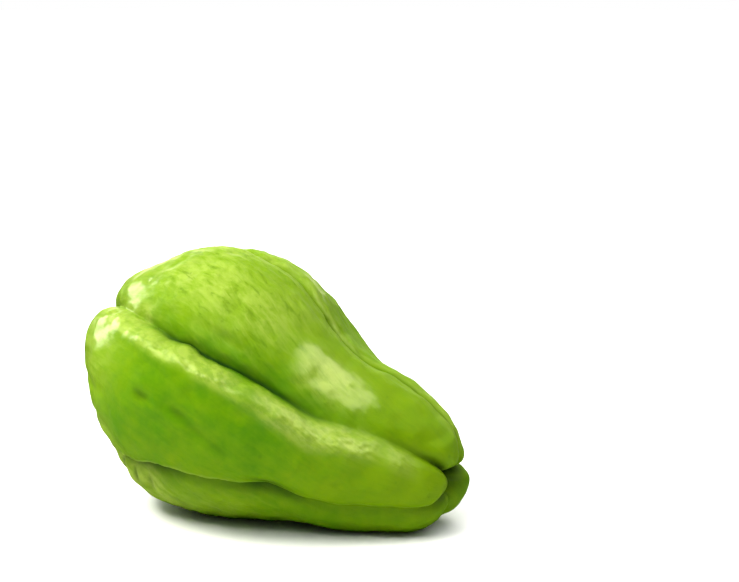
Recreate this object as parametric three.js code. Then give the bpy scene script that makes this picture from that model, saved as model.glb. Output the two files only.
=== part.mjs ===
// A chayote squash as picked, one solid, lying on its side. Millimetres, +Z up.
// The broad blossom end points to -X and the narrow stem end to +X. The fruit rests on z = 0 on small
// flat spots under its lowest lobes, and the origin is under the middle of its box.
import * as THREE from "three";

// Driving dimensions, in millimetres. A station is [place, value], where place runs along the fruit
// from -1 at the blossom end to +1 at the stem end.
const halfLength = 65.5;
const halfHeight = curve([
  [-1, 48], [-0.72, 48], [-0.44, 48.5], [-0.15, 46], [0.13, 40.5], [0.41, 33], [0.69, 28], [1, 25],
]);
const halfWidth = curve([
  [-1, 46], [-0.72, 48], [-0.44, 49], [-0.15, 48], [0.13, 44], [0.41, 37], [0.69, 30], [1, 24],
]);
const coreHeight = curve([
  [-1, 50], [-0.72, 48], [-0.44, 48.5], [-0.15, 46.7], [0.13, 41.7], [0.41, 32], [0.69, 26], [0.89, 22],
  [1, 20.5],
]);
const blossomRounding = 0.55; // power of the sine that closes the section, 0.5 for an ellipse
const stemRounding = 0.56;
const floorLevel = 3; // height of the resting plane above the zero of coreHeight

// Furrows between the lobes. Angles are degrees round the core line, from 0 at -Y towards 90 on top.
// depth is how far the skin is drawn in, above and below how far the slopes reach on each side, and
// crest the height of the raised shoulder along the lower side.
const furrows = [
  {
    path: curve([[-1, -95], [0, -94], [0.9, -84], [1, -100]]),
    depth: curve([[-1, 4], [0, 4], [0.7, 3], [0.85, 4.5], [1, 10]]),
    above: curve([[-1, 6], [0, 7], [0.8, 3], [1, 2]]),
    below: curve([[-1, 6], [0, 7], [0.8, 3], [1, 2]]),
    columns: 14, // columns of the mesh on the lobe that follows
  },
  {
    path: curve([
      [-1, -41], [-0.74, -36], [-0.5, -32], [-0.25, -30.5], [0, -31.5], [0.1, -31], [0.2, -31.5],
      [0.4, -31.5], [0.7, -28.5], [0.86, -26.5], [0.94, -22], [1, -12],
    ]),
    depth: curve([
      [-1, 3], [-0.75, 5.5], [-0.5, 6], [-0.3, 4], [-0.1, 4], [0.1, 5.5], [0.3, 3.2], [0.6, 2.6],
      [0.85, 3.2], [1, 9],
    ]),
    above: curve([[-1, 4], [-0.7, 2.4], [0, 3], [0.4, 3], [0.8, 2.4], [1, 2]]),
    below: curve([[-1, 5], [-0.6, 7], [0, 7], [0.8, 3], [1, 2]]),
    columns: 20,
  },
  {
    path: curve([
      [-1, 66], [-0.8, 54], [-0.62, 43], [-0.47, 35], [-0.38, 32.4], [-0.31, 32], [-0.24, 29.4],
      [-0.1, 27.8], [0.2, 27.2], [0.35, 27.2], [0.48, 31], [0.7, 33], [0.9, 31], [1, 30],
    ]),
    depth: curve([
      [-1, 8], [-0.85, 5], [-0.7, 4.5], [-0.45, 7], [-0.1, 8], [0.15, 7], [0.35, 4], [0.55, 2.5],
      [0.8, 3.5], [0.92, 5], [1, 10],
    ]),
    above: curve([[-1, 4], [-0.7, 6], [-0.4, 10], [0.1, 11], [0.4, 10], [0.8, 4], [1, 2]]),
    below: curve([[-1, 4], [-0.7, 3.2], [-0.4, 3.3], [0.1, 3.4], [0.4, 5], [0.8, 3], [1, 2]]),
    crest: curve([[-1, 0], [-0.7, 0.6], [-0.45, 1.3], [0.2, 1.3], [0.45, 1], [0.7, 0.4], [1, 0]]),
    columns: 18,
  },
  {
    path: curve([
      [-1, 140], [-0.6, 118], [-0.2, 102], [0, 98.5], [0.18, 93.5], [0.4, 95], [0.6, 100], [0.8, 105],
      [1, 106],
    ]),
    depth: curve([[-1, 3], [-0.6, 3], [-0.2, 2.8], [0, 2.6], [0.5, 2], [0.8, 1.6], [0.93, 2.5], [1, 9]]),
    above: curve([[-1, 4], [-0.2, 2.4], [0.5, 2.2], [1, 2]]),
    below: curve([[-1, 5], [0, 6], [0.8, 4], [1, 2]]),
    columns: 20,
  },
  {
    path: curve([[-1, 242], [-0.7, 222], [-0.3, 202], [0.2, 188], [0.7, 178], [1, 170]]),
    depth: curve([[-1, 8], [-0.7, 5.5], [0, 6], [0.5, 3.5], [0.8, 3.5], [1, 9]]),
    above: curve([[-1, 4], [-0.5, 7], [0, 8], [0.8, 4], [1, 2]]),
    below: curve([[-1, 4], [-0.5, 4], [0, 5], [0.8, 4], [1, 2]]),
    columns: 18,
  },
];
const creaseRound = 0.18; // how round the bottom of a furrow is, as a share of its slope
const creaseMerge = 1.2; // per millimetre: how sharply two furrows that meet stay apart
const crestOffset = 7.5; // from the bottom of the furrow to the top of its crest
const crestReach = 4.5;

// Broad swellings, a waist on the neck and hollows at the stem end, as round spots.
const swells = [
  { place: -0.95, angle: 42, radius: 15, height: 3.5 },
  { place: -0.9, angle: -60, radius: 16, height: 0.5 },
  { place: -0.88, angle: 95, radius: 15, height: -0.3 },
  { place: -0.9, angle: 180, radius: 18, height: 2 },
  { place: 0.36, angle: 112, radius: 18, height: -4.6 },
  { place: 0.6, angle: 112, radius: 12, height: 1.6 },
  { place: 0.96, angle: 135, radius: 8, height: -2 },
  { place: -0.38, angle: -112, radius: 24, height: 3.2 },
  { place: -0.4, angle: -72, radius: 16, height: 0.6 },
  { place: -0.66, angle: -58, radius: 12, height: 1.4 },
  { place: 0.02, angle: -60, radius: 15, height: -1.2 },
  { place: 0.72, angle: -58, radius: 12, height: 1 },
  { place: 0.96, angle: -66, radius: 8, height: -5.5 },
  { place: 0.97, angle: 175, radius: 8, height: 1 },
  { place: 0.96, angle: -130, radius: 8, height: -1 },
  { place: 1, angle: 0, radius: 8, height: -6 },
  { place: 0.98, angle: 4, radius: 6, height: -2.5 },
];

// Short dents, folds and puckers. turn is the angle of the dent to the fruit's length.
const dents = [
  { place: -0.12, angle: 39.5, halfLong: 13, halfWide: 2.4, turn: -12, depth: 1.3 },
  { place: -0.52, angle: 7, halfLong: 4.5, halfWide: 2, turn: -20, depth: 1.2 },
  { place: -0.31, angle: 2, halfLong: 5, halfWide: 2, turn: -25, depth: 1 },
  { place: -0.21, angle: -4, halfLong: 4, halfWide: 1.8, turn: -25, depth: 0.6 },
  { place: -0.1, angle: -10, halfLong: 5, halfWide: 2, turn: -30, depth: 0.7 },
  { place: 0.12, angle: -25, halfLong: 9, halfWide: 3, turn: 0, depth: 1.2 },
  { place: 0.44, angle: -10, halfLong: 2.5, halfWide: 1.5, turn: 0, depth: 0.6 },
  { place: 0.67, angle: -4, halfLong: 2, halfWide: 1.2, turn: 0, depth: 0.4 },
  { place: -0.8, angle: -52, halfLong: 1.8, halfWide: 6, turn: 8, depth: 1.4 },
  { place: -0.7, angle: -48, halfLong: 1.6, halfWide: 5, turn: 12, depth: 1.2 },
  { place: -0.6, angle: -46, halfLong: 1.8, halfWide: 4, turn: 15, depth: 1 },
  { place: -0.88, angle: -60, halfLong: 2, halfWide: 7, turn: 0, depth: 1.2 },
  { place: -0.9, angle: 88, halfLong: 7, halfWide: 2.2, turn: 30, depth: 0.9 },
  { place: -0.86, angle: 108, halfLong: 7, halfWide: 2, turn: 20, depth: 0.8 },
  { place: -0.9, angle: 5, halfLong: 6, halfWide: 2.2, turn: -20, depth: 0.7 },
  { place: -0.9, angle: -20, halfLong: 6, halfWide: 2.2, turn: 10, depth: 0.7 },
  { place: -0.9, angle: 205, halfLong: 7, halfWide: 2.2, turn: 0, depth: 0.9 },
  { place: -0.86, angle: 160, halfLong: 8, halfWide: 2.2, turn: 20, depth: 0.9 },
];

// Uneven growth: low rises and hollows spread evenly over the skin, with uneven heights.
const lumpCount = 90;
const lumpRadius = 7.5;
const lumpHeight = 0.55;
const goldenAngle = Math.PI * (3 - Math.sqrt(5));

const rows = 52; // steps of the mesh from end to end
const crowding = 0.55; // how much closer the columns stand beside a furrow

const skin = { color: 0x86ad22, roughness: 0.38, metalness: 0 };

// A smooth curve through the stations, level at both ends.
function curve(stations) {
  const last = stations.length - 1;
  const slope = stations.map((station, i) => {
    if (i === 0 || i === last) return 0;
    const before = stations[i - 1];
    const after = stations[i + 1];
    return (after[1] - before[1]) / (after[0] - before[0]);
  });
  return (place) => {
    let i = 0;
    while (i < last - 1 && place >= stations[i + 1][0]) i += 1;
    const step = stations[i + 1][0] - stations[i][0];
    const t = THREE.MathUtils.clamp((place - stations[i][0]) / step, 0, 1);
    return (
      (1 + 2 * t) * (1 - t) ** 2 * stations[i][1] +
      t * (1 - t) ** 2 * step * slope[i] +
      t * t * (3 - 2 * t) * stations[i + 1][1] +
      t * t * (t - 1) * step * slope[i + 1]
    );
  };
}

const radians = THREE.MathUtils.degToRad;

// The smaller way round from one angle to the other, in radians.
function turnBetween(angle) {
  return Math.atan2(Math.sin(angle), Math.cos(angle));
}

// share runs from 0 to 1 from end to end, with its steps closer together towards both ends.
function placeOf(share) {
  return -Math.cos(Math.PI * share);
}

function shareOf(place) {
  return Math.acos(-place) / Math.PI;
}

// The plain pear that the furrows are drawn into.
function pearPoint(share, angle) {
  const place = placeOf(share);
  const rounding = THREE.MathUtils.lerp(blossomRounding, stemRounding, (place + 1) / 2);
  const closing = Math.max(0, Math.sin(Math.PI * share)) ** rounding;
  return new THREE.Vector3(
    halfLength * place,
    -halfWidth(place) * closing * Math.cos(angle),
    coreHeight(place) + halfHeight(place) * closing * Math.sin(angle),
  );
}

function pearRadius(share, angle) {
  const place = placeOf(share);
  const side = pearPoint(share, 0).y;
  const top = pearPoint(share, Math.PI / 2).z - coreHeight(place);
  return Math.hypot(side * Math.sin(angle), top * Math.cos(angle));
}

function pearNormal(share, angle) {
  if (share === 0) return new THREE.Vector3(-1, 0, 0);
  if (share === 1) return new THREE.Vector3(1, 0, 0);
  const step = 1e-4;
  const lengthways = pearPoint(share + step, angle).sub(pearPoint(share - step, angle));
  const round = pearPoint(share, angle + step).sub(pearPoint(share, angle - step));
  return lengthways.cross(round).normalize();
}

// Millimetres of skin from an angle to the middle of a path, positive above it.
function skinOffset(angle, pathAngle, radius) {
  return turnBetween(angle - radians(pathAngle)) * radius;
}

function furrowDepth(place, angle, radius) {
  let sum = 1;
  for (const furrow of furrows) {
    const offset = skinOffset(angle, furrow.path(place), radius);
    const reach = offset > 0 ? furrow.above(place) : furrow.below(place);
    const fall = Math.exp(creaseRound - Math.hypot(offset / reach, creaseRound));
    sum += Math.exp(creaseMerge * furrow.depth(place) * fall) - 1;
  }
  return Math.log(sum) / creaseMerge;
}

function bell(x) {
  return Math.exp(-x * x);
}

function crestHeight(place, angle, radius) {
  return furrows
    .filter((furrow) => furrow.crest)
    .reduce((sum, furrow) => {
      const offset = skinOffset(angle, furrow.path(place), radius) + crestOffset;
      return sum + furrow.crest(place) * bell(offset / crestReach);
    }, 0);
}

function dentDepth(place, angle, radius) {
  return dents.reduce((sum, dent) => {
    const x = (place - dent.place) * halfLength;
    const y = skinOffset(angle, dent.angle, radius);
    const c = Math.cos(radians(dent.turn));
    const s = Math.sin(radians(dent.turn));
    return sum + dent.depth * bell((x * c + y * s) / dent.halfLong) * bell((y * c - x * s) / dent.halfWide);
  }, 0);
}

// Rises and hollows as round spots: a centre on the pear, a radius and a height.
const spots = swells.map((swell) => ({
  centre: pearPoint(shareOf(swell.place), radians(swell.angle)),
  radius: swell.radius,
  height: swell.height,
}));
for (let i = 0; i < lumpCount; i += 1) {
  const place = -1 + (2 * (i + 0.5)) / lumpCount;
  spots.push({
    centre: pearPoint(shareOf(place), i * goldenAngle),
    radius: lumpRadius,
    height: lumpHeight * Math.sin(i * i),
  });
}

function spotHeight(point) {
  return spots.reduce(
    (sum, spot) => sum + spot.height * bell(point.distanceTo(spot.centre) / spot.radius),
    0,
  );
}

// A point of the skin, no lower than the plane that the fruit rests on.
function skinPoint(share, angle) {
  const place = placeOf(share);
  const point = pearPoint(share, angle);
  const radius = pearRadius(share, angle);
  const raised = spotHeight(point) + crestHeight(place, angle, radius);
  const sunk = furrowDepth(place, angle, radius) + dentDepth(place, angle, radius);
  point.addScaledVector(pearNormal(share, angle), raised - sunk);
  point.z = Math.max(0, point.z - floorLevel);
  return point;
}

// The angles of one row of the mesh: a column down the middle of each furrow, and the lobe's own
// columns between two furrows, closer together beside them.
function rowAngles(place) {
  const angles = [];
  furrows.forEach((furrow, k) => {
    const next = furrows[(k + 1) % furrows.length];
    const start = radians(furrow.path(place));
    const turn = THREE.MathUtils.euclideanModulo(radians(next.path(place)) - start, 2 * Math.PI);
    for (let j = 0; j < furrow.columns; j += 1) {
      const t = j / furrow.columns;
      angles.push(start + turn * (t - (crowding * Math.sin(2 * Math.PI * t)) / (2 * Math.PI)));
    }
  });
  return angles;
}

function makeFruit() {
  const columns = furrows.reduce((sum, furrow) => sum + furrow.columns, 0);
  const points = [skinPoint(0, 0)];
  for (let i = 1; i < rows; i += 1) {
    for (const angle of rowAngles(placeOf(i / rows))) points.push(skinPoint(i / rows, angle));
  }
  points.push(skinPoint(1, 0));

  const blossomTip = 0;
  const stemTip = points.length - 1;
  const vertex = (row, column) => 1 + (row - 1) * columns + (column % columns);
  const faces = [];
  for (let j = 0; j < columns; j += 1) {
    faces.push(blossomTip, vertex(1, j), vertex(1, j + 1));
    for (let i = 1; i < rows - 1; i += 1) {
      faces.push(vertex(i, j), vertex(i + 1, j), vertex(i + 1, j + 1));
      faces.push(vertex(i, j), vertex(i + 1, j + 1), vertex(i, j + 1));
    }
    faces.push(vertex(rows - 1, j), stemTip, vertex(rows - 1, j + 1));
  }

  const geometry = new THREE.BufferGeometry().setFromPoints(points);
  geometry.setIndex(faces);
  geometry.computeBoundingBox();
  const middle = geometry.boundingBox.getCenter(new THREE.Vector3());
  geometry.translate(-middle.x, -middle.y, 0);
  geometry.computeVertexNormals();
  return geometry;
}

const fruit = new THREE.Mesh(makeFruit(), new THREE.MeshStandardMaterial(skin));
fruit.name = "chayote_fruit";

const part = new THREE.Group();
part.add(fruit);

export default part;
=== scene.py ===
import math

import bpy
import numpy as np
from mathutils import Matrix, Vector


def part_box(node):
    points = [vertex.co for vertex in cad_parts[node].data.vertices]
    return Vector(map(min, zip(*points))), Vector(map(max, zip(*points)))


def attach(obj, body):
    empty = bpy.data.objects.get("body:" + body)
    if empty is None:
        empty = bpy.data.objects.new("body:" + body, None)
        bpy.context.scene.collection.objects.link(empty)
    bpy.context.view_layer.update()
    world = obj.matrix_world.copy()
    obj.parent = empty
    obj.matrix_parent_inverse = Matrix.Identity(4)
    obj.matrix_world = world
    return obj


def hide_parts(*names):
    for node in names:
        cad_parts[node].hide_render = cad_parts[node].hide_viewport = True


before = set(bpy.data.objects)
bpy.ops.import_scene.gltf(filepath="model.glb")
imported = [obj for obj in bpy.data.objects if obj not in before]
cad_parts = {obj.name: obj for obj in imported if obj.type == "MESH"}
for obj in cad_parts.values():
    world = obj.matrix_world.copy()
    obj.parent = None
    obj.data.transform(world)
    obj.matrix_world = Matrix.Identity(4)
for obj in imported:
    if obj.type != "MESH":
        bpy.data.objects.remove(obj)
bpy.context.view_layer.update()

mm = 0.001
node = "chayote_fruit"


# Node trees: a Graph adds nodes, and a Wire is one socket that Python arithmetic works on

class Graph:
    def __init__(self, tree):
        self.tree = tree

    def add(self, kind, settings=None, inputs=None, output=0):
        made = self.tree.nodes.new(kind)
        for name, value in (settings or {}).items():
            setattr(made, name, value)
        for name, value in (inputs or {}).items():
            if isinstance(value, Wire):
                self.tree.links.new(value.socket, made.inputs[name])
            else:
                made.inputs[name].default_value = value
        return Wire(self, made.outputs[output])

    def maths(self, operation, *values, clamp=False):
        settings = {"operation": operation, "use_clamp": clamp}
        return self.add("ShaderNodeMath", settings, dict(enumerate(values)))

    def vector(self, operation, *values, output=0):
        return self.add("ShaderNodeVectorMath", {"operation": operation}, dict(enumerate(values)), output)

    def ease(self, value, low, high, start=0.0, end=1.0):
        inputs = {"Value": value, "From Min": low, "From Max": high, "To Min": start, "To Max": end}
        return self.add("ShaderNodeMapRange", {"interpolation_type": "SMOOTHSTEP"}, inputs)

    def noise(self, vector, size, detail=2.0, roughness=0.5, distortion=0.0):
        inputs = {
            "Vector": vector, "Scale": 1 / size, "Detail": detail, "Roughness": roughness,
            "Distortion": distortion,
        }
        return self.add("ShaderNodeTexNoise", {}, inputs)

    def colour(self, factor, first, second):
        return self.add("ShaderNodeMix", {"data_type": "RGBA"}, {0: factor, 6: first, 7: second}, 2)

    def attribute(self, name, output="Fac"):
        return self.add("ShaderNodeAttribute", {"attribute_name": name}, {}, output)

    def bump(self, height, distance, normal=None):
        inputs = {"Height": height, "Distance": distance}
        if normal:
            inputs["Normal"] = normal
        return self.add("ShaderNodeBump", {}, inputs)


class Wire:
    def __init__(self, graph, socket):
        self.graph = graph
        self.socket = socket

    def __add__(self, other):
        return self.graph.maths("ADD", self, other)

    def __radd__(self, other):
        return self.graph.maths("ADD", other, self)

    def __sub__(self, other):
        return self.graph.maths("SUBTRACT", self, other)

    def __rsub__(self, other):
        return self.graph.maths("SUBTRACT", other, self)

    def __mul__(self, other):
        return self.graph.maths("MULTIPLY", self, other)

    def __rmul__(self, other):
        return self.graph.maths("MULTIPLY", other, self)

    def __truediv__(self, other):
        return self.graph.maths("DIVIDE", self, other)

    def __rtruediv__(self, other):
        return self.graph.maths("DIVIDE", other, self)


def screenColour(red, green, blue):
    def channel(value):
        share = value / 255
        return share / 12.92 if share <= 0.04045 else ((share + 0.055) / 1.055) ** 2.4
    return (channel(red), channel(green), channel(blue), 1.0)


# The fruit's form, in millimetres as in the solid model: place runs from -1 at the blossom end to
# +1 at the stem end, and angles are degrees round the core line, from 0 at -Y towards 90 on top.

form = {
    "halfLength": 65.5,
    "halfHeight": [
        (-1, 48), (-0.72, 48), (-0.44, 48.5), (-0.15, 46), (0.13, 40.5), (0.41, 33), (0.69, 28), (1, 25),
    ],
    "halfWidth": [
        (-1, 46), (-0.72, 48), (-0.44, 49), (-0.15, 48), (0.13, 44), (0.41, 37), (0.69, 30), (1, 24),
    ],
    "coreHeight": [
        (-1, 50), (-0.72, 48), (-0.44, 48.5), (-0.15, 46.7), (0.13, 41.7), (0.41, 32), (0.69, 26),
        (0.89, 22), (1, 20.5),
    ],
    "blossomRounding": 0.55,
    "stemRounding": 0.56,
    "floorLevel": 3.0,
    "creaseRound": 0.18,
    "creaseMerge": 1.2,
    "crestOffset": 7.5,
    "crestReach": 4.5,
    "rows": 260,
    "columnsPerStep": 4,  # times the columns of each lobe
    "crowding": 0.55,
}

furrows = [
    {
        "path": [(-1, -95), (0, -94), (0.9, -84), (1, -100)],
        "depth": [(-1, 4), (0, 4), (0.7, 3), (0.85, 4.5), (1, 10)],
        "above": [(-1, 6), (0, 7), (0.8, 3), (1, 2)],
        "below": [(-1, 6), (0, 7), (0.8, 3), (1, 2)],
        "columns": 14,
    },
    {
        "path": [
            (-1, -41), (-0.74, -36), (-0.5, -32), (-0.25, -30.5), (0, -31.5), (0.1, -31), (0.2, -31.5),
            (0.4, -31.5), (0.7, -28.5), (0.86, -26.5), (0.94, -22), (1, -12),
        ],
        "depth": [
            (-1, 3), (-0.75, 5.5), (-0.5, 6), (-0.3, 4), (-0.1, 4), (0.1, 5.5), (0.3, 3.2),
            (0.6, 2.6), (0.85, 3.2), (1, 9),
        ],
        "above": [(-1, 4), (-0.7, 2.4), (0, 3), (0.4, 3), (0.8, 2.4), (1, 2)],
        "below": [(-1, 5), (-0.6, 7), (0, 7), (0.8, 3), (1, 2)],
        "columns": 20,
    },
    {
        "path": [
            (-1, 66), (-0.8, 54), (-0.62, 43), (-0.47, 35), (-0.38, 32.4), (-0.31, 32), (-0.24, 29.4),
            (-0.1, 27.8), (0.2, 27.2), (0.35, 27.2), (0.48, 31), (0.7, 33), (0.9, 31), (1, 30),
        ],
        "depth": [
            (-1, 8), (-0.85, 5), (-0.7, 4.5), (-0.45, 7), (-0.1, 8), (0.15, 7), (0.35, 4),
            (0.55, 2.5), (0.8, 3.5), (0.92, 5), (1, 10),
        ],
        "above": [(-1, 4), (-0.7, 6), (-0.4, 10), (0.1, 11), (0.4, 10), (0.8, 4), (1, 2)],
        "below": [(-1, 4), (-0.7, 3.2), (-0.4, 3.3), (0.1, 3.4), (0.4, 5), (0.8, 3), (1, 2)],
        "crest": [(-1, 0), (-0.7, 0.6), (-0.45, 1.3), (0.2, 1.3), (0.45, 1), (0.7, 0.4), (1, 0)],
        "columns": 18,
    },
    {
        "path": [
            (-1, 140), (-0.6, 118), (-0.2, 102), (0, 98.5), (0.18, 93.5), (0.4, 95), (0.6, 100),
            (0.8, 105), (1, 106),
        ],
        "depth": [(-1, 3), (-0.6, 3), (-0.2, 2.8), (0, 2.6), (0.5, 2), (0.8, 1.6), (0.93, 2.5), (1, 9)],
        "above": [(-1, 4), (-0.2, 2.4), (0.5, 2.2), (1, 2)],
        "below": [(-1, 5), (0, 6), (0.8, 4), (1, 2)],
        "columns": 20,
    },
    {
        "path": [(-1, 242), (-0.7, 222), (-0.3, 202), (0.2, 188), (0.7, 178), (1, 170)],
        "depth": [(-1, 8), (-0.7, 5.5), (0, 6), (0.5, 3.5), (0.8, 3.5), (1, 9)],
        "above": [(-1, 4), (-0.5, 7), (0, 8), (0.8, 4), (1, 2)],
        "below": [(-1, 4), (-0.5, 4), (0, 5), (0.8, 4), (1, 2)],
        "columns": 18,
    },
]

# place, angle, radius, height
swells = [
    (-0.95, 42, 15, 3.5), (-0.9, -60, 16, 0.5), (-0.88, 95, 15, -0.3), (-0.9, 180, 18, 2),
    (0.36, 112, 18, -4.6), (0.6, 112, 12, 1.6), (0.96, 135, 8, -2), (-0.38, -112, 24, 3.2),
    (-0.4, -72, 16, 0.6), (-0.66, -58, 12, 1.4), (0.02, -60, 15, -1.2), (0.72, -58, 12, 1),
    (0.96, -66, 8, -5.5), (0.97, 175, 8, 1), (0.96, -130, 8, -1), (1, 0, 8, -6), (0.98, 4, 6, -2.5),
]

# place, angle, half length, half width, turn, depth
dents = [
    (-0.12, 39.5, 13, 2.4, -12, 1.3), (-0.52, 7, 4.5, 2, -20, 1.2), (-0.31, 2, 5, 2, -25, 1),
    (-0.21, -4, 4, 1.8, -25, 0.6), (-0.1, -10, 5, 2, -30, 0.7), (0.12, -25, 9, 3, 0, 1.2),
    (0.44, -10, 2.5, 1.5, 0, 0.6), (0.67, -4, 2, 1.2, 0, 0.4), (-0.8, -52, 1.8, 6, 8, 1.4),
    (-0.7, -48, 1.6, 5, 12, 1.2), (-0.6, -46, 1.8, 4, 15, 1), (-0.88, -60, 2, 7, 0, 1.2),
    (-0.9, 88, 7, 2.2, 30, 0.9), (-0.86, 108, 7, 2, 20, 0.8), (-0.9, 5, 6, 2.2, -20, 0.7),
    (-0.9, -20, 6, 2.2, 10, 0.7), (-0.9, 205, 7, 2.2, 0, 0.9), (-0.86, 160, 8, 2.2, 20, 0.9),
]

# Where the skin is a deeper green (partly painted shade), yellower, or paler (partly painted highlight and
# sheen):
# place, angle, radius and share
tints = {
    # partly the skin's own deeper green, partly painted shade: on the front lobe's middle, on the slope
    # above the deep furrow, low on the lower lobe and on the neck
    "deepToneAndShade": [
        (-0.3, 6, 20, 0.5), (-0.05, 6, 20, 0.5), (0.18, 0, 18, 0.35), (-0.6, 0, 14, 0.5),
        (-0.78, -12, 9, 0.5), (-0.6, 40, 6, 0.5), (-0.4, 36, 6, 0.6), (-0.2, 34, 6, 0.75),
        (0, 33, 6, 0.8), (0.18, 33, 6, 0.9), (0.33, 33, 6, 0.9), (0.48, 35, 6, 0.6), (0.65, 42, 9, 0.4),
        (0.84, 60, 12, 0.5), (-0.1, 210, 20, 0.7), (0.3, 150, 16, 0.3), (-0.2, -70, 16, 0.3),
        (0.2, -60, 14, 0.4), (0.5, -60, 14, 0.2), (-0.5, 150, 16, 0.5),
    ],
    "yellowShare": [
        (0, 75, 22, 0.4), (0.5, 75, 20, 0.5), (0.78, 60, 18, 0.5), (0.6, 0, 12, 0.3),
        (0.85, 0, 14, 0.6), (0.35, -22, 9, 0.4), (0.7, 190, 18, 0.6),
    ],
    # partly paler skin, partly painted highlight and sheen: on the upper lobe, the patch on the neck, the
    # front lobe's crest, the nose, the lower lobe's left end and the top rim
    "paleAndSheenShare": [
        (-0.75, 52, 6, 0.4), (-0.64, 46, 5, 0.9), (0.52, 21, 5, 0.9), (-0.45, -52, 10, 0.4),
        (-0.8, 75, 16, 0.35), (-0.5, 85, 17, 0.45), (-0.3, 64, 13, 0.6), (-0.45, 62, 9, 0.35),
        (-0.1, 57, 13, 0.6), (0.08, 55, 11, 0.4), (0.18, 72, 11, 0.3), (-0.9, 30, 12, 0.5),
        (-0.8, 20, 9, 0.3), (-0.75, -52, 13, 1.2), (-0.62, -56, 10, 0.8), (-0.85, -22, 9, 0.5),
        (-0.62, -44, 7, 0.6), (-0.2, -48, 9, 0.3), (-0.5, 235, 18, 0.5), (0.3, 49, 7, 0.7),
        (0.38, 53, 9, 0.55), (0.46, 54, 7, 0.45), (-0.3, 96, 9, 0.7), (-0.08, 102, 9, 0.6),
        (0.1, 112, 12, 0.3), (0.72, 118, 10, 0.2), (0.9, 104, 7, 0.5),
    ],
    "polish": [
        (0.27, 50, 6, 1), (0.32, 52, 7, 0.9), (0.39, 54, 7, 0.8), (0.46, 54, 7, 0.8), (0.52, 54, 5, 0.6),
        (-0.9, 36, 11, 1.1), (-0.82, 47, 9, 1), (-0.75, 70, 13, 0.8), (-0.45, 75, 16, 0.6),
        (0.1, 105, 14, 0.5), (-0.2, 165, 12, 0.9), (0.45, 165, 9, 0.9), (-0.6, 200, 12, 0.8),
        (-0.5, 125, 10, 0.7),
    ],
}

# Bands of pebbled skin beside a furrow, paler and with a painted highlight: millimetres below the furrow's
# bottom, half the width, and how plain the band is along the fruit
pebbles = [
    {
        "furrow": 2,
        "below": [(-1, 6), (-0.6, 5), (-0.2, 5), (0.05, 7), (0.28, 7.5), (0.42, 5.6), (0.6, 5), (1, 6)],
        "reach": [(-1, 4.4), (-0.05, 4.4), (0.15, 5.6), (0.3, 5.6), (0.45, 4.6), (1, 4)],
        "along": [
            (-1, 0), (-0.92, 0.5), (-0.82, 1), (-0.6, 1), (-0.1, 1), (0.04, 0.4), (0.12, 0.8), (0.25, 1),
            (0.57, 1), (0.64, 0.35), (0.7, 0.6), (0.76, 0.4), (0.84, 0), (1, 0),
        ],
    },
    {
        "furrow": 3,
        "below": [(-1, -2.4), (1, -2.4)],
        "reach": [(-1, 1.4), (1, 1.4)],
        "along": [(-1, 0), (-0.3, 0), (-0.1, 0.4), (0.2, 0.7), (0.5, 0.3), (0.85, 0.5), (0.95, 0.2), (1, 0)],
    },
    {
        "furrow": 1,
        "below": [(-1, -2.6), (1, -2.6)],
        "reach": [(-1, 1.8), (1, 1.8)],
        "along": [(-1, 0.3), (-0.85, 1), (-0.6, 1), (-0.4, 0.5), (-0.15, 0.5), (0.05, 0), (1, 0)],
    },
]

# Painted shade: how dark the line at the bottom of each furrow is along the fruit, and how far it reaches
creaseShadeLines = {
    "darkness": [
        [(-1, 1), (0, 0.8), (1, 1)],
        [
            (-1, 0.7), (-0.8, 1), (-0.5, 1), (-0.35, 0.5), (-0.1, 0.5), (0.05, 0.85), (0.2, 0.75),
            (0.35, 0.2), (0.85, 0.3), (1, 1),
        ],
        [
            (-1, 0.8), (-0.9, 0.2), (-0.75, 0), (-0.62, 0.1), (-0.5, 0.6), (-0.4, 1), (0.2, 1),
            (0.32, 0.6), (0.42, 0.15), (0.6, 0.1), (0.8, 0.35), (0.95, 1), (1, 1),
        ],
        [(-1, 0.6), (-0.4, 0.3), (0.4, 0.3), (0.9, 0.5), (1, 1)],
        [(-1, 1), (0, 0.8), (1, 1)],
    ],
    "above": [1.5, 1.2, 1.6, 1.0, 2.0],
    "below": [1.5, 3.6, 1.0, 1.0, 2.0],
    # painted shade at both puckered ends, where the skin is drawn in deep, and in the small dents
    "ends": {"reach": 7.5, "darkness": 0.9},
    "shadeInDeepHollows": {"from": 6, "over": 3, "darkness": 0.9},
    "dents": {"from": 0.4, "over": 0.8, "darkness": 0.6},
}

lumps = {"count": 90, "radius": 7.5, "height": 0.55}
goldenAngle = math.pi * (3 - math.sqrt(5))


def curve(stations, place):  # smooth through the stations and level at both ends
    at, value = np.array(stations, float).T
    slope = np.zeros_like(value)
    slope[1:-1] = (value[2:] - value[:-2]) / (at[2:] - at[:-2])
    place = np.clip(place, at[0], at[-1])
    i = np.clip(np.searchsorted(at, place, side="right") - 1, 0, len(at) - 2)
    step = at[i + 1] - at[i]
    t = (place - at[i]) / step
    return (
        (1 + 2 * t) * (1 - t) ** 2 * value[i] + t * (1 - t) ** 2 * step * slope[i]
        + t * t * (3 - 2 * t) * value[i + 1] + t * t * (t - 1) * step * slope[i + 1]
    )


def bell(x):
    return np.exp(-x * x)


def pearPoint(share, angle):  # the plain pear that the furrows are drawn into
    place = -np.cos(np.pi * share)
    rounding = form["blossomRounding"] + (form["stemRounding"] - form["blossomRounding"]) * (place + 1) / 2
    closing = np.maximum(np.sin(np.pi * share), 0) ** rounding
    side = curve(form["halfWidth"], place) * closing
    top = curve(form["halfHeight"], place) * closing
    point = np.stack([
        form["halfLength"] * place,
        -side * np.cos(angle),
        curve(form["coreHeight"], place) + top * np.sin(angle),
    ], -1)
    return point, np.hypot(side * np.sin(angle), top * np.cos(angle))


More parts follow.
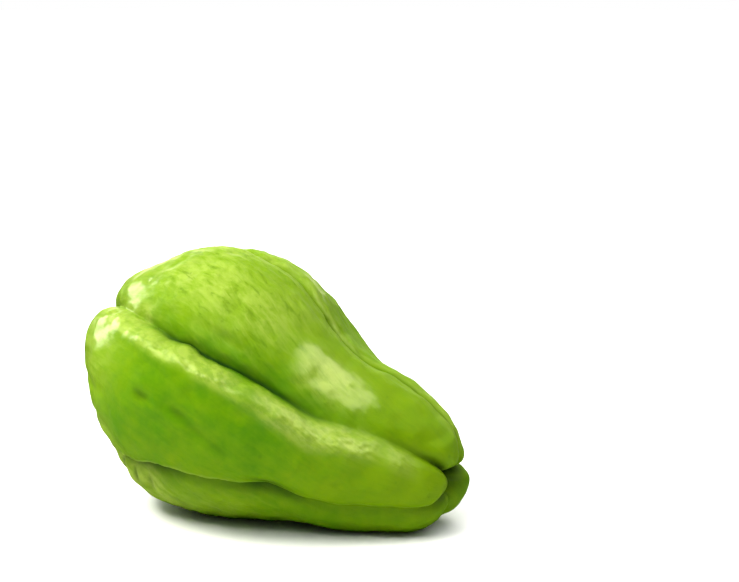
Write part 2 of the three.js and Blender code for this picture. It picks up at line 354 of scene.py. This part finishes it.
def pearNormal(share, angle):
    step = 1e-4
    lengthways = pearPoint(share + step, angle)[0] - pearPoint(share - step, angle)[0]
    around = pearPoint(share, angle + step)[0] - pearPoint(share, angle - step)[0]
    normal = np.cross(lengthways, around)
    return normal / np.maximum(np.linalg.norm(normal, axis=-1, keepdims=True), 1e-12)


def skinOffset(angle, pathAngle, radius):  # millimetres from the middle of a path, positive above it
    return np.angle(np.exp(1j * (angle - np.radians(pathAngle)))) * radius


def furrowDepth(place, angle, radius):
    total = 1
    for furrow in furrows:
        offset = skinOffset(angle, curve(furrow["path"], place), radius)
        reach = np.where(offset > 0, curve(furrow["above"], place), curve(furrow["below"], place))
        fall = np.exp(form["creaseRound"] - np.hypot(offset / reach, form["creaseRound"]))
        total = total + np.exp(form["creaseMerge"] * curve(furrow["depth"], place) * fall) - 1
    return np.log(total) / form["creaseMerge"]


def crestShare(place, angle, radius):  # how near the raised shoulder below the deep furrow, and its height
    furrow = next(f for f in furrows if "crest" in f)
    offset = skinOffset(angle, curve(furrow["path"], place), radius) + form["crestOffset"]
    return bell(offset / form["crestReach"]), curve(furrow["crest"], place)


def shadeOver(depth, look):
    return look["darkness"] * np.clip((depth - look["from"]) / look["over"], 0, 1)


def creaseShade(place, angle, radius, point):  # painted shade: the dark line along each furrow, and both puckered ends
    ends = pearPoint(np.array([0.0, 1.0]), np.array([0.0, 0.0]))[0]
    away = np.minimum(*(np.linalg.norm(point - end, axis=-1) for end in ends))
    shade = creaseShadeLines["ends"]["darkness"] * bell(away / creaseShadeLines["ends"]["reach"])
    lines = zip(furrows, creaseShadeLines["darkness"], creaseShadeLines["above"], creaseShadeLines["below"])
    for furrow, darkness, above, below in lines:
        offset = skinOffset(angle, curve(furrow["path"], place), radius)
        shade = np.maximum(shade, curve(darkness, place) * bell(offset / np.where(offset > 0, above, below)))
    # painted shade also where the skin is drawn in deep, and in the small dents
    shade = np.maximum(shade, shadeOver(furrowDepth(place, angle, radius), creaseShadeLines["shadeInDeepHollows"]))
    small = dentDepth(place, angle, radius, dents[1:])  # the first is a long fold, and gets no painted shade
    return np.maximum(shade, shadeOver(small, creaseShadeLines["dents"]))


def pebbleBands(place, angle, radius):
    plainest = 0
    for band in pebbles:
        path = curve(furrows[band["furrow"]]["path"], place)
        offset = skinOffset(angle, path, radius) + curve(band["below"], place)
        reach = curve(band["reach"], place)
        plainest = np.maximum(plainest, curve(band["along"], place) * np.exp(-(offset / reach) ** 4))
    return plainest


def dentDepth(place, angle, radius, among=dents):
    total = 0
    for at, turnedTo, halfLong, halfWide, turn, depth in among:
        x = (place - at) * form["halfLength"]
        y = skinOffset(angle, turnedTo, radius)
        c, s = math.cos(math.radians(turn)), math.sin(math.radians(turn))
        total = total + depth * bell((x * c + y * s) / halfLong) * bell((y * c - x * s) / halfWide)
    return total


def spotHeight(point, spots):  # round spots of place, angle, radius and height
    total = 0
    for at, angle, radius, height in spots:
        centre = pearPoint(np.array(math.acos(-at) / math.pi), np.array(math.radians(angle)))[0]
        total = total + height * bell(np.linalg.norm(point - centre, axis=-1) / radius)
    return total


def unevenGrowth():  # low rises and hollows spread evenly over the skin
    spots = []
    for i in range(lumps["count"]):
        at = -1 + 2 * (i + 0.5) / lumps["count"]
        spots.append((at, math.degrees(i * goldenAngle), lumps["radius"], lumps["height"] * math.sin(i * i)))
    return spots


def rowAngles(place):  # a column down the middle of each furrow, and the lobes' columns between them
    angles = []
    for furrow, following in zip(furrows, furrows[1:] + furrows[:1]):
        start = math.radians(float(curve(furrow["path"], place)))
        turn = (math.radians(float(curve(following["path"], place))) - start) % (2 * math.pi)
        count = furrow["columns"] * form["columnsPerStep"]
        t = np.arange(count) / count
        angles.append(start + turn * (t - form["crowding"] * np.sin(2 * np.pi * t) / (2 * np.pi)))
    return np.concatenate(angles)


def makeFruitMesh():
    rows = form["rows"]
    shares = np.arange(1, rows) / rows
    angle = np.array([rowAngles(-math.cos(math.pi * share)) for share in shares])
    columns = angle.shape[1]
    share = np.repeat(shares[:, None], columns, 1).ravel()
    share = np.concatenate([[0.0], share, [1.0]])
    angle = np.concatenate([[0.0], angle.ravel(), [0.0]])

    place = -np.cos(np.pi * share)
    point, radius = pearPoint(share, angle)
    normal = pearNormal(share, angle)
    normal[0], normal[-1] = (-1, 0, 0), (1, 0, 0)
    crest, crestHeight = crestShare(place, angle, radius)
    depth = furrowDepth(place, angle, radius)
    raised = spotHeight(point, swells + unevenGrowth()) + crest * crestHeight
    plain = point
    point = point + normal * (raised - depth - dentDepth(place, angle, radius))[:, None]
    point[:, 2] = np.maximum(point[:, 2] - form["floorLevel"], 0)

    low, high = (np.array(corner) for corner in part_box(node))
    middle = (point.min(0) + point.max(0)) / 2
    point[:, :2] += ((low + high) / 2 / mm - middle)[:2]

    index = np.arange(1, 1 + (rows - 1) * columns).reshape(rows - 1, columns)
    beside = np.roll(index, -1, 1)
    quads = np.stack([index[:-1], index[1:], beside[1:], beside[:-1]], -1).reshape(-1, 4)
    stemTip = len(point) - 1
    faces = quads.tolist()
    faces += [(0, int(a), int(b)) for a, b in zip(index[0], beside[0])]
    faces += [(int(a), stemTip, int(b)) for a, b in zip(index[-1], beside[-1])]

    mesh = bpy.data.meshes.new("chayoteSkin")
    mesh.from_pydata((point * mm).tolist(), [], faces)
    mesh.polygons.foreach_set("use_smooth", np.ones(len(mesh.polygons), bool))

    twist = angle + relief["streakTwist"] * place
    around = relief["meanRadius"] * np.stack([np.cos(twist), np.sin(twist)], -1)
    flow = np.concatenate([around, (form["halfLength"] * place)[:, None]], -1)
    addAttribute(mesh, "flow", flow * mm)
    plainSide = bell(skinOffset(angle, 0, 1) / relief["plainReach"])
    addAttribute(mesh, "rippled", curve(relief["ripplesAlong"], place) * (1 - plainSide))
    addAttribute(mesh, "valley", np.clip(depth / relief["valleyDepth"], 0, 1))
    # pebbled bands, which are also painted with a pale highlight
    addAttribute(mesh, "pebbledAndSheen", pebbleBands(place, angle, radius))
    # painted shade along the furrows, at the ends, in deep hollows and in dents
    addAttribute(mesh, "paintedCreaseShade", creaseShade(place, angle, radius, plain))
    # tints of the skin, where the deeper and paler ones are partly painted shade and painted highlight, and
    # the polish
    for name, spots in tints.items():
        addAttribute(mesh, name, np.clip(spotHeight(plain, spots), 0, 1))
    mesh.update()
    return mesh


def addAttribute(mesh, name, values):
    vector = values.ndim == 2
    made = mesh.attributes.new(name, "FLOAT_VECTOR" if vector else "FLOAT", "POINT")
    made.data.foreach_set("vector" if vector else "value", values.astype(np.float32).ravel())


# The skin's own relief, laid over the form by a geometry tree

relief = {
    "streakTwist": 0.7,  # radians that the streaks turn round the fruit from its middle to an end
    "meanRadius": 45.0,
    "plainReach": 0.7,  # radians to each side of the -Y side, where the lower lobe has few streaks
    "valleyDepth": 6,
    "ripplesAlong": [(-1, 0), (-0.8, 0.3), (-0.4, 1), (0.05, 1), (0.25, 0.3), (0.4, 0.1), (1, 0)],
    "inputs": {
        "Streak height": 1.1 * mm,
        "Streak width": 2.8 * mm,
        "Streak length": 4.5 * mm,
        "Lump height": 2.0 * mm,
        "Lump size": 9 * mm,
        "Pebble height": 1.8 * mm,
        "Pebble size": 3.4 * mm,
        "Pore depth": 0.18 * mm,
        "Pore radius": 0.9 * mm,
        "Pore spacing": 13 * mm,
    },
    "seed": 7,
}


def reliefTree():
    tree = bpy.data.node_groups.new("skinRelief", "GeometryNodeTree")
    sockets = tree.interface
    sockets.new_socket("Geometry", in_out="INPUT", socket_type="NodeSocketGeometry")
    sockets.new_socket("Geometry", in_out="OUTPUT", socket_type="NodeSocketGeometry")
    for name in relief["inputs"]:
        sockets.new_socket(name, in_out="INPUT", socket_type="NodeSocketFloat")
    sockets.new_socket("Seed", in_out="INPUT", socket_type="NodeSocketInt")
    sockets.new_socket("Skin", in_out="INPUT", socket_type="NodeSocketMaterial")

    g = Graph(tree)
    given = tree.nodes.new("NodeGroupInput")
    value = {socket.name: Wire(g, socket) for socket in given.outputs if socket.name}

    def named(name, kind):
        return g.add("GeometryNodeInputNamedAttribute", {"data_type": kind}, {"Name": name})

    def centredNoise(vector, detail, roughness):
        return g.add("ShaderNodeTexNoise", {}, {
            "Vector": vector, "Scale": 1.0, "Detail": detail, "Roughness": roughness,
        }) - 0.5

    position = g.add("GeometryNodeInputPosition")
    normal = g.add("GeometryNodeInputNormal")
    pebbledAndSheen = named("pebbledAndSheen", "FLOAT")

    steps = g.add("ShaderNodeCombineXYZ", {}, {
        0: value["Streak width"], 1: value["Streak width"], 2: value["Streak length"],
    })
    streakField = g.vector("DIVIDE", named("flow", "FLOAT_VECTOR"), steps)
    streaks = centredNoise(streakField, 3.0, 0.6) * value["Streak height"] * named("rippled", "FLOAT")

    inLumps = g.vector("SCALE", position)
    g.tree.links.new((1 / value["Lump size"]).socket, inLumps.socket.node.inputs["Scale"])
    broad = centredNoise(inLumps, 1.5, 0.5) * value["Lump height"]

    inPebbles = g.vector("SCALE", position)
    g.tree.links.new((1 / value["Pebble size"]).socket, inPebbles.socket.node.inputs["Scale"])
    pebbly = centredNoise(inPebbles, 2.0, 0.6) * value["Pebble height"] * (0.06 + 0.94 * pebbledAndSheen)

    pores = g.add("GeometryNodeDistributePointsOnFaces", {"distribute_method": "POISSON"}, {
        "Mesh": value["Geometry"], "Distance Min": value["Pore spacing"], "Density Max": 20000.0,
        "Seed": value["Seed"],
    }, "Points")
    toPore = g.add("GeometryNodeProximity", {"target_element": "POINTS"}, {0: pores}, "Distance")
    pore = 1 - g.ease(toPore / value["Pore radius"], 0.0, 1.0)

    height = streaks + broad + pebbly - pore * value["Pore depth"]
    moved = g.vector("SCALE", normal)
    g.tree.links.new(height.socket, moved.socket.node.inputs["Scale"])
    shaped = g.add("GeometryNodeSetPosition", {}, {"Geometry": value["Geometry"], "Offset": moved})

    flat = g.add("ShaderNodeSeparateXYZ", {}, {0: position})
    parts = flat.socket.node.outputs
    lifted = g.add("ShaderNodeCombineXYZ", {}, {
        0: Wire(g, parts[0]), 1: Wire(g, parts[1]), 2: g.maths("MAXIMUM", Wire(g, parts[2]), 0.0),
    })
    resting = g.add("GeometryNodeSetPosition", {}, {"Geometry": shaped, "Position": lifted})
    marked = g.add("GeometryNodeStoreNamedAttribute", {"data_type": "FLOAT", "domain": "POINT"}, {
        "Geometry": resting, "Name": "pore", "Value": pore,
    })
    whole = g.add("GeometryNodeRealizeInstances", {}, {"Geometry": marked})
    dressed = g.add("GeometryNodeSetMaterial", {}, {"Geometry": whole, "Material": value["Skin"]})
    result = tree.nodes.new("NodeGroupOutput")
    tree.links.new(dressed.socket, result.inputs["Geometry"])
    return tree


def applyRelief(piece, skin):
    tree = reliefTree()
    modifier = piece.modifiers.new("relief", "NODES")
    modifier.node_group = tree
    identifiers = {
        item.name: item.identifier
        for item in tree.interface.items_tree if item.item_type == "SOCKET" and item.in_out == "INPUT"
    }
    for name, value in relief["inputs"].items():
        modifier[identifiers[name]] = value
    modifier[identifiers["Seed"]] = relief["seed"]
    modifier[identifiers["Skin"]] = skin
    graph = bpy.context.evaluated_depsgraph_get()
    finished = bpy.data.meshes.new_from_object(
        piece.evaluated_get(graph), preserve_all_data_layers=True, depsgraph=graph,
    )
    piece.modifiers.clear()
    piece.data = finished


# The skin's finish

skinLook = {
    "lime": screenColour(91, 123, 1),
    # deeper green for the skin's own tone and for painted shade
    "deep": screenColour(62, 105, 1),
    "yellow": screenColour(93, 119, 1),
    # pale yellow-green for paler skin and for painted highlights and sheen
    "paleAndSheen": screenColour(124, 146, 50),
    # dark green for painted shade in the creases and the strokes' hollows, and for the pores' own marks
    "furrow": screenColour(9, 42, 1),
    "roughness": 0.5,
    "specular": 0.03,
    "coatRoughness": 0.25,
    "subsurface": 0.1,
    "subsurfaceReach": 2.5 * mm,
    "subsurfaceColours": (0.6, 1.0, 0.15),
    "cloudSize": 20 * mm,
    "blotchSize": 6 * mm,
    "strokeSize": 2.6 * mm,
    "strokeLength": 2.0,  # times the size
    "fibreSize": 2.2 * mm,
    "fibreLength": 20 / 3,
    "fleckSize": 2.4 * mm,
    "grainSize": 0.9 * mm,
    "strokeBump": 0.3 * mm,
    "blotchBump": 0.3 * mm,
    "fibreBump": 0.12 * mm,
    "grainBump": 0.06 * mm,
}


def skinMaterial(look):
    material = bpy.data.materials.new("waxySkin")
    material.use_nodes = True
    tree = material.node_tree
    tree.nodes.clear()
    g = Graph(tree)
    where = g.add("ShaderNodeTexCoord", output="Object")
    flow = g.attribute("flow", "Vector")
    rippled = g.attribute("rippled")
    valley = g.attribute("valley")
    pebbledAndSheen = g.attribute("pebbledAndSheen")
    paintedCreaseShade = g.attribute("paintedCreaseShade")
    pore = g.attribute("pore")
    paleAndSheenShare = g.attribute("paleAndSheenShare")

    def stretched(length):
        return g.vector("MULTIPLY", flow, (1.0, 1.0, 1 / length))

    clouds = g.noise(where, look["cloudSize"], 3.0, 0.55)
    blotches = g.noise(where, look["blotchSize"], 3.0, 0.6)
    strokes = g.noise(stretched(look["strokeLength"]), look["strokeSize"], 4.0, 0.6, 0.4)
    fibres = g.noise(stretched(look["fibreLength"]), look["fibreSize"], 3.0, 0.6, 0.6)
    flecks = g.noise(where, look["fleckSize"], 3.0, 0.65)
    grain = g.noise(where, look["grainSize"], 2.0, 0.6)
    mottle = clouds * 0.4 + blotches * 0.4 + fibres * 0.2

    # deeper green from random mottling of the skin's own tone, and from spots that partly paint shade
    deepToneAndShadeMix = g.maths("ADD", g.attribute("deepToneAndShade") * 0.8, (mottle - 0.45) * 3.0, clamp=True)
    colour = g.colour(deepToneAndShadeMix, look["lime"], look["deep"])
    colour = g.colour(g.attribute("yellowShare") * (0.4 + 0.8 * clouds), colour, look["yellow"])
    clotted = strokes * 0.5 + blotches * 0.5
    # painted highlight and sheen: the pale spots broken up by the strokes, and the strokes' ridges
    paleAndSheen = paleAndSheenShare * g.ease(clotted, 0.37, 0.61, 0.25, 1.0) + g.ease(strokes, 0.48, 0.7) * rippled * 0.2
    # the pebbled bands are paler skin with a painted highlight
    paleAndSheen = g.maths("MAXIMUM", paleAndSheen, pebbledAndSheen * g.ease(flecks * 0.4 + strokes * 0.6, 0.4, 0.6, 0.5, 1.0))
    colour = g.colour(g.maths("MINIMUM", paleAndSheen, 1.0), colour, look["paleAndSheen"])
    # painted shade in the strokes' hollows, partly faint dark streaks of the skin's own tone
    streakToneAndShade = g.ease(strokes, 0.44, 0.28) * (0.06 + 0.2 * rippled) * (1 - pebbledAndSheen)
    # painted shade: the crease lines and the strokes' hollows go towards the dark furrow green
    darker = g.maths("MAXIMUM", paintedCreaseShade * 0.92, streakToneAndShade)
    colour = g.colour(darker, colour, look["furrow"])
    colour = g.colour(pore * 0.2, colour, look["furrow"])

    roughness = look["roughness"] + 0.16 * (blotches - 0.5) + 0.12 * (grain - 0.5)
    polish = g.ease(g.attribute("polish") + (blotches - 0.5) * 1.2 + (strokes - 0.5) * 0.3, 0.3, 0.9)
    waxy = g.maths("MAXIMUM", polish, pebbledAndSheen * 0.6) * (1 - valley * 0.7) * 0.9 + 0.02
    normal = g.bump(strokes * rippled, look["strokeBump"])
    normal = g.bump(blotches, look["blotchBump"], normal)
    normal = g.bump(fibres, look["fibreBump"], normal)
    normal = g.bump(grain, look["grainBump"], normal)

    shader = g.add("ShaderNodeBsdfPrincipled", {}, {
        "Base Color": colour, "Roughness": roughness, "Normal": normal, "Coat Weight": waxy,
        "Specular IOR Level": look["specular"], "Coat Roughness": look["coatRoughness"],
        "Subsurface Weight": look["subsurface"], "Subsurface Scale": look["subsurfaceReach"],
        "Subsurface Radius": look["subsurfaceColours"],
    })
    output = tree.nodes.new("ShaderNodeOutputMaterial")
    tree.links.new(shader.socket, output.inputs["Surface"])
    return material


def makeFruit():
    skin = skinMaterial(skinLook)
    piece = bpy.data.objects.new("chayoteFruit", makeFruitMesh())
    bpy.context.scene.collection.objects.link(piece)
    applyRelief(piece, skin)
    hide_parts(node)
    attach(piece, "root")
    print("fruit:", len(piece.data.vertices), "vertices,", len(piece.data.polygons), "faces")
    return piece


# Floor, light and camera

studio = {
    "floorRadius": 2.6,
    "wallCurve": 0.8,
    "wallTop": 4.0,
    "floorShade": 0.88,
    "floorGlow": 0.9,
    "glowFrom": 0.35,
    "glowFull": 1.2,
    "ambient": 0.04,
    "skyTop": 1.3,
    "skyBack": 0.9,
    "skyBackAt": (198.0, 20.0),
    "aim": (0.0, 0.0, 45 * mm),
    # at is the lamp's azimuth and elevation seen from the fruit, and its distance; shows is whether it
    # lights the skin's colour or only shines in its gloss
    "lamps": {
        "key": {
            "at": (-50.0, 60.0, 0.9), "size": (0.6, 0.45), "radiance": 17.0, "tint": (1.0, 0.99, 0.92),
            "shows": "colour",
        },
        "back": {
            "at": (185.0, 42.0, 1.0), "size": (0.8, 0.4), "radiance": 6.0, "tint": (1.0, 0.99, 0.92),
            "shows": "colour",
        },
        "front": {
            "at": (-8.0, 54.0, 1.0), "size": (0.5, 0.4), "radiance": 8.0, "tint": (1.0, 0.99, 0.92),
            "shows": "colour",
        },
        "keyShine": {
            "at": (-35.0, 58.0, 0.9), "size": (0.9, 0.6), "radiance": 6.0, "tint": (1.0, 0.96, 0.5),
            "shows": "gloss",
        },
        "leftBox": {
            "at": (-96.0, 26.0, 0.8), "size": (0.46, 0.36), "radiance": 11.0, "tint": (1.0, 0.96, 0.7),
            "shows": "gloss",
        },
        "rightBox": {
            "at": (88.0, 43.0, 0.8), "size": (1.1, 0.44), "radiance": 6.5, "tint": (1.0, 0.96, 0.55),
            "shows": "gloss",
        },
        "rimPanel": {
            "at": (-165.0, 14.0, 1.2), "size": (1.2, 0.55), "radiance": 2.5, "tint": (1.0, 0.98, 0.6),
            "shows": "gloss",
        },
    },
}


def direction(azimuth, elevation):  # 0 is -Y, and 90 is +X
    a, e = math.radians(azimuth), math.radians(elevation)
    return Vector((math.sin(a) * math.cos(e), -math.cos(a) * math.cos(e), math.sin(e)))


def stageMaterial(name, shade, glow):
    material = bpy.data.materials.new(name)
    material.use_nodes = True
    tree = material.node_tree
    tree.nodes.clear()
    g = Graph(tree)
    where = g.add("ShaderNodeTexCoord", output="Object")
    away = g.vector("LENGTH", where, output="Value")
    strength = g.ease(away, studio["glowFrom"], studio["glowFull"], 0.0, glow)
    shader = g.add("ShaderNodeBsdfPrincipled", {}, {
        "Base Color": (shade, shade, shade, 1), "Roughness": 0.6, "Specular IOR Level": 0.0,
        "Emission Color": (1, 1, 1, 1), "Emission Strength": strength,
    })
    output = tree.nodes.new("ShaderNodeOutputMaterial")
    tree.links.new(shader.socket, output.inputs["Surface"])
    return material


def stageObject(name, profile, material, closed=False):  # points of radius and height, turned round Z
    sides = 96
    points = [
        (radius * math.cos(2 * math.pi * k / sides), radius * math.sin(2 * math.pi * k / sides), height)
        for radius, height in profile for k in range(sides)
    ]
    faces = [
        (row + k, row + sides + k, row + sides + (k + 1) % sides, row + (k + 1) % sides)
        for row in range(0, sides * (len(profile) - 1), sides) for k in range(sides)
    ]
    if closed:
        faces.append(tuple(range(sides)))
    mesh = bpy.data.meshes.new(name)
    mesh.from_pydata(points, [], faces)
    mesh.polygons.foreach_set("use_smooth", np.ones(len(mesh.polygons), bool))
    mesh.materials.append(material)
    made = bpy.data.objects.new(name, mesh)
    made.visible_glossy = False
    bpy.context.scene.collection.objects.link(made)
    return made


def makeStage():
    radius, bend = studio["floorRadius"], studio["wallCurve"]
    white = stageMaterial("whiteFloor", studio["floorShade"], studio["floorGlow"])
    stageObject("floor", [(radius / 2, 0), (radius, 0)], white, closed=True)
    turns = [math.radians(10 * k) for k in range(10)]
    profile = [(radius + bend * math.sin(turn), bend * (1 - math.cos(turn))) for turn in turns]
    profile.append((radius + bend, studio["wallTop"]))
    wall = stageObject("backdrop", profile, stageMaterial("whiteBackdrop", 0.0, 1.0))
    wall.visible_diffuse = False
    wall.visible_shadow = False


def makeWorld():  # bright overhead and behind the fruit, dim in front and below
    world = bpy.data.worlds.new("studio")
    bpy.context.scene.world = world
    world.use_nodes = True
    tree = world.node_tree
    tree.nodes.clear()
    g = Graph(tree)
    towards = g.add("ShaderNodeTexCoord", output="Generated")
    overhead = g.ease(g.add("ShaderNodeSeparateXYZ", {}, {0: towards}, "Z"), 0.35, 0.95)
    facing = g.vector("DOT_PRODUCT", towards, direction(*studio["skyBackAt"]), output="Value")
    behind = g.ease(facing, 0.1, 0.8)
    strength = overhead * studio["skyTop"] + behind * studio["skyBack"] + studio["ambient"]
    background = g.add("ShaderNodeBackground", {}, {"Color": (1, 1, 1, 1), "Strength": strength})
    output = tree.nodes.new("ShaderNodeOutputWorld")
    tree.links.new(background.socket, output.inputs["Surface"])
    world.cycles_visibility.glossy = False


def makeLamps():
    centre = Vector(studio["aim"])
    for name, lamp in studio["lamps"].items():
        azimuth, elevation, distance = lamp["at"]
        width, height = lamp["size"]
        data = bpy.data.lights.new(name, "AREA")
        data.shape = "RECTANGLE"
        data.size = width
        data.size_y = height
        data.color = lamp["tint"]
        data.energy = lamp["radiance"] * math.pi * width * height
        made = bpy.data.objects.new(name, data)
        away = direction(azimuth, elevation)
        made.location = centre + away * distance
        made.rotation_euler = away.to_track_quat("Z", "Y").to_euler()
        made.visible_camera = False
        made.visible_diffuse = lamp["shows"] == "colour"
        made.visible_glossy = lamp["shows"] == "gloss"
        bpy.context.scene.collection.objects.link(made)


view = {
    "azimuth": 18.0, "elevation": 13.0, "lens": 85.0, "distance": 0.58,
    "target": (31.7 * mm, 0.0, 80 * mm),
}


def makeCamera():
    data = bpy.data.cameras.new("camera")
    data.lens = view["lens"]
    data.sensor_width = 36.0
    data.clip_start = 0.02
    camera = bpy.data.objects.new("camera", data)
    away = direction(view["azimuth"], view["elevation"])
    camera.location = Vector(view["target"]) + away * view["distance"]
    camera.rotation_euler = away.to_track_quat("Z", "Y").to_euler()
    bpy.context.scene.collection.objects.link(camera)
    bpy.context.scene.camera = camera


makeCamera()
makeFruit()
makeStage()
makeWorld()
makeLamps()
bpy.context.scene.view_settings.view_transform = "Standard"
print("stage: floor, world, lamps and camera made")
